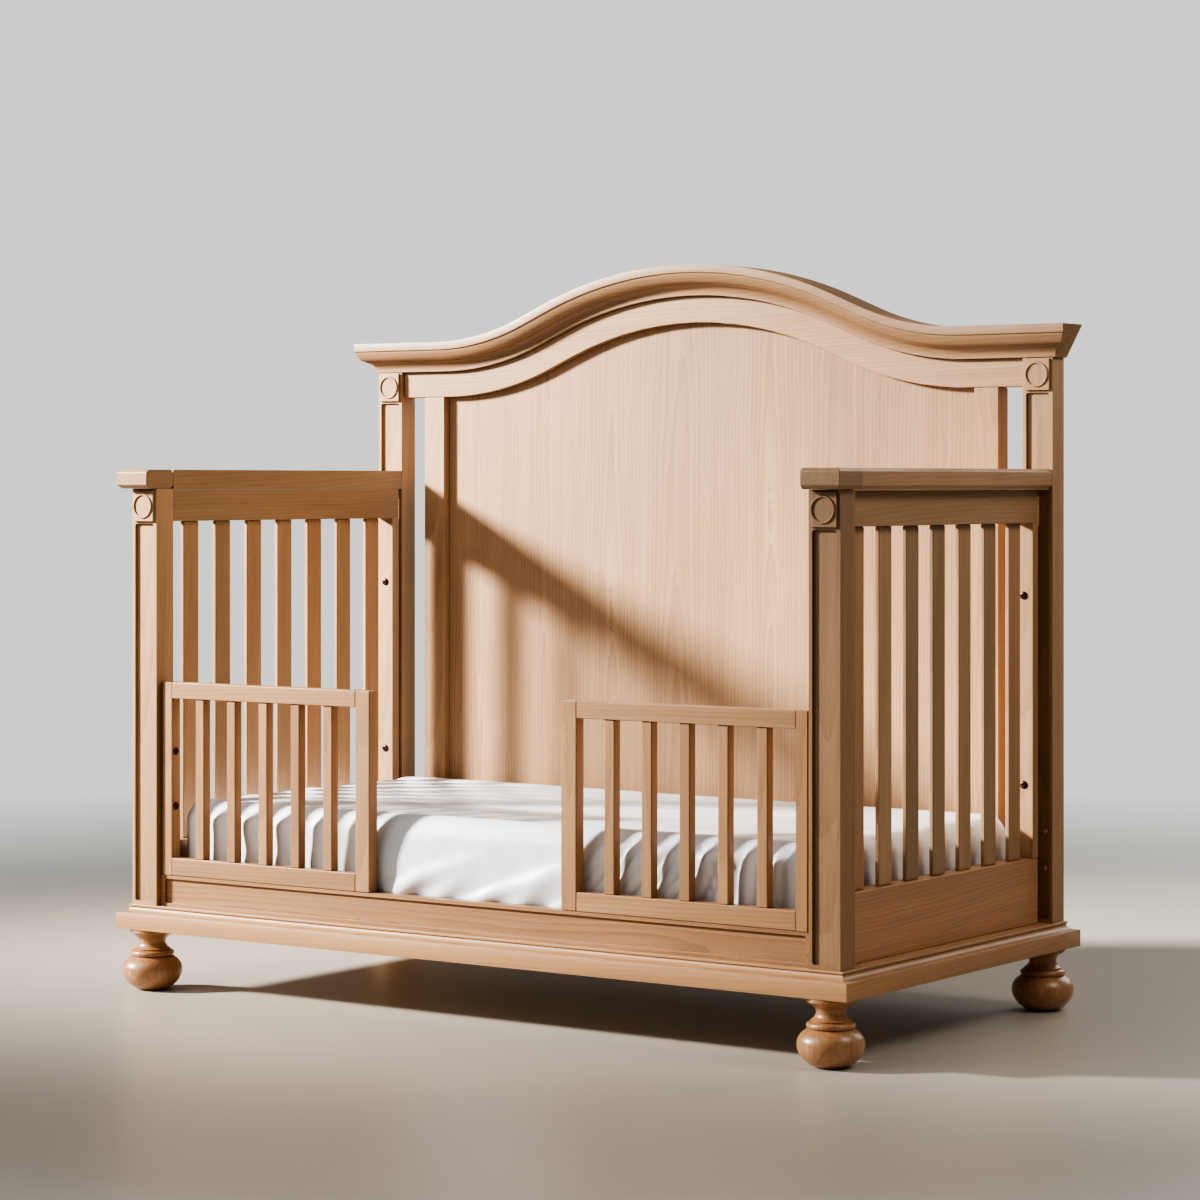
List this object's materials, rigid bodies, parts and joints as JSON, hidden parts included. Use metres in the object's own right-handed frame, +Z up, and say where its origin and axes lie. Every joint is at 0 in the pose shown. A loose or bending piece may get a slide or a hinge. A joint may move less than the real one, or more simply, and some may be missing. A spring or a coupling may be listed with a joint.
{
  "type": "baby crib",
  "caption": "Baby crib in its toddler-bed form: arched headboard, slatted sides, short front guard rails, turned feet and a mattress with a fitted satin sheet.",
  "frame": {"origin": "middle of the footprint on the floor, under the feet", "axes": "+X along the bed towards its right side as seen from the front, +Y from the open front to the headboard, +Z up"},
  "size_m": [1.5276, 0.798, 1.2877],
  "materials": {
    "wood": "satin clear varnish on light oak",
    "slat_wood": "satin clear varnish on light oak",
    "turned_wood": "glossy clear varnish on turned wood",
    "support_wood": "bare planed softwood",
    "bolt": "dark bronze",
    "mattress_fabric": "white satin weave"
  },
  "bodies": {
    "frame": {"plinth_front": "wood", "plinth_back": "wood", "plinth_left": "wood", "plinth_right": "wood", "front_post_left": "wood", "front_post_right": "wood", "back_post_left": "wood", "back_post_right": "wood", "arm_cap_left": "wood", "arm_cap_right": "wood", "arm_block_left": "wood", "arm_block_right": "wood", "side_upper_rail_left": "wood", "side_upper_rail_right": "wood", "side_lower_rail_left": "wood", "side_lower_rail_right": "wood", "side_stile_left": "wood", "side_stile_right": "wood", "crown": "wood", "headboard_arched_rail": "wood", "headboard_lower_rail": "wood", "headboard_panel": "wood", "headboard_stile_left": "wood", "headboard_stile_right": "wood", "front_rail": "wood", "guard_outer_stile_left": "wood", "guard_outer_stile_right": "wood", "guard_inner_stile_left": "wood", "guard_inner_stile_right": "wood", "side_slat_left_1": "slat_wood", "side_slat_left_2": "slat_wood", "side_slat_left_3": "slat_wood", "side_slat_left_4": "slat_wood", "side_slat_left_5": "slat_wood", "side_slat_left_6": "slat_wood", "side_slat_left_7": "slat_wood", "side_slat_right_1": "slat_wood", "side_slat_right_2": "slat_wood", "side_slat_right_3": "slat_wood", "side_slat_right_4": "slat_wood", "side_slat_right_5": "slat_wood", "side_slat_right_6": "slat_wood", "side_slat_right_7": "slat_wood", "guard_ladder_left": "slat_wood", "guard_ladder_right": "slat_wood", "foot_front_left": "turned_wood", "foot_front_right": "turned_wood", "foot_back_left": "turned_wood", "foot_back_right": "turned_wood", "mattress_support": "support_wood", "side_bolt_left_1": "bolt", "side_bolt_left_2": "bolt", "side_bolt_right_1": "bolt", "side_bolt_right_2": "bolt", "guard_bolt_left_1": "bolt", "guard_bolt_left_2": "bolt", "guard_bolt_right_1": "bolt", "guard_bolt_right_2": "bolt"},
    "mattress": {"mattress": "mattress_fabric"}
  },
  "joints": [
    {"name": "mattress_lift", "type": "slide", "parent": "frame", "child": "mattress", "axis": [0, 0, 1], "range_m": [0, 0.4]}
  ]
}
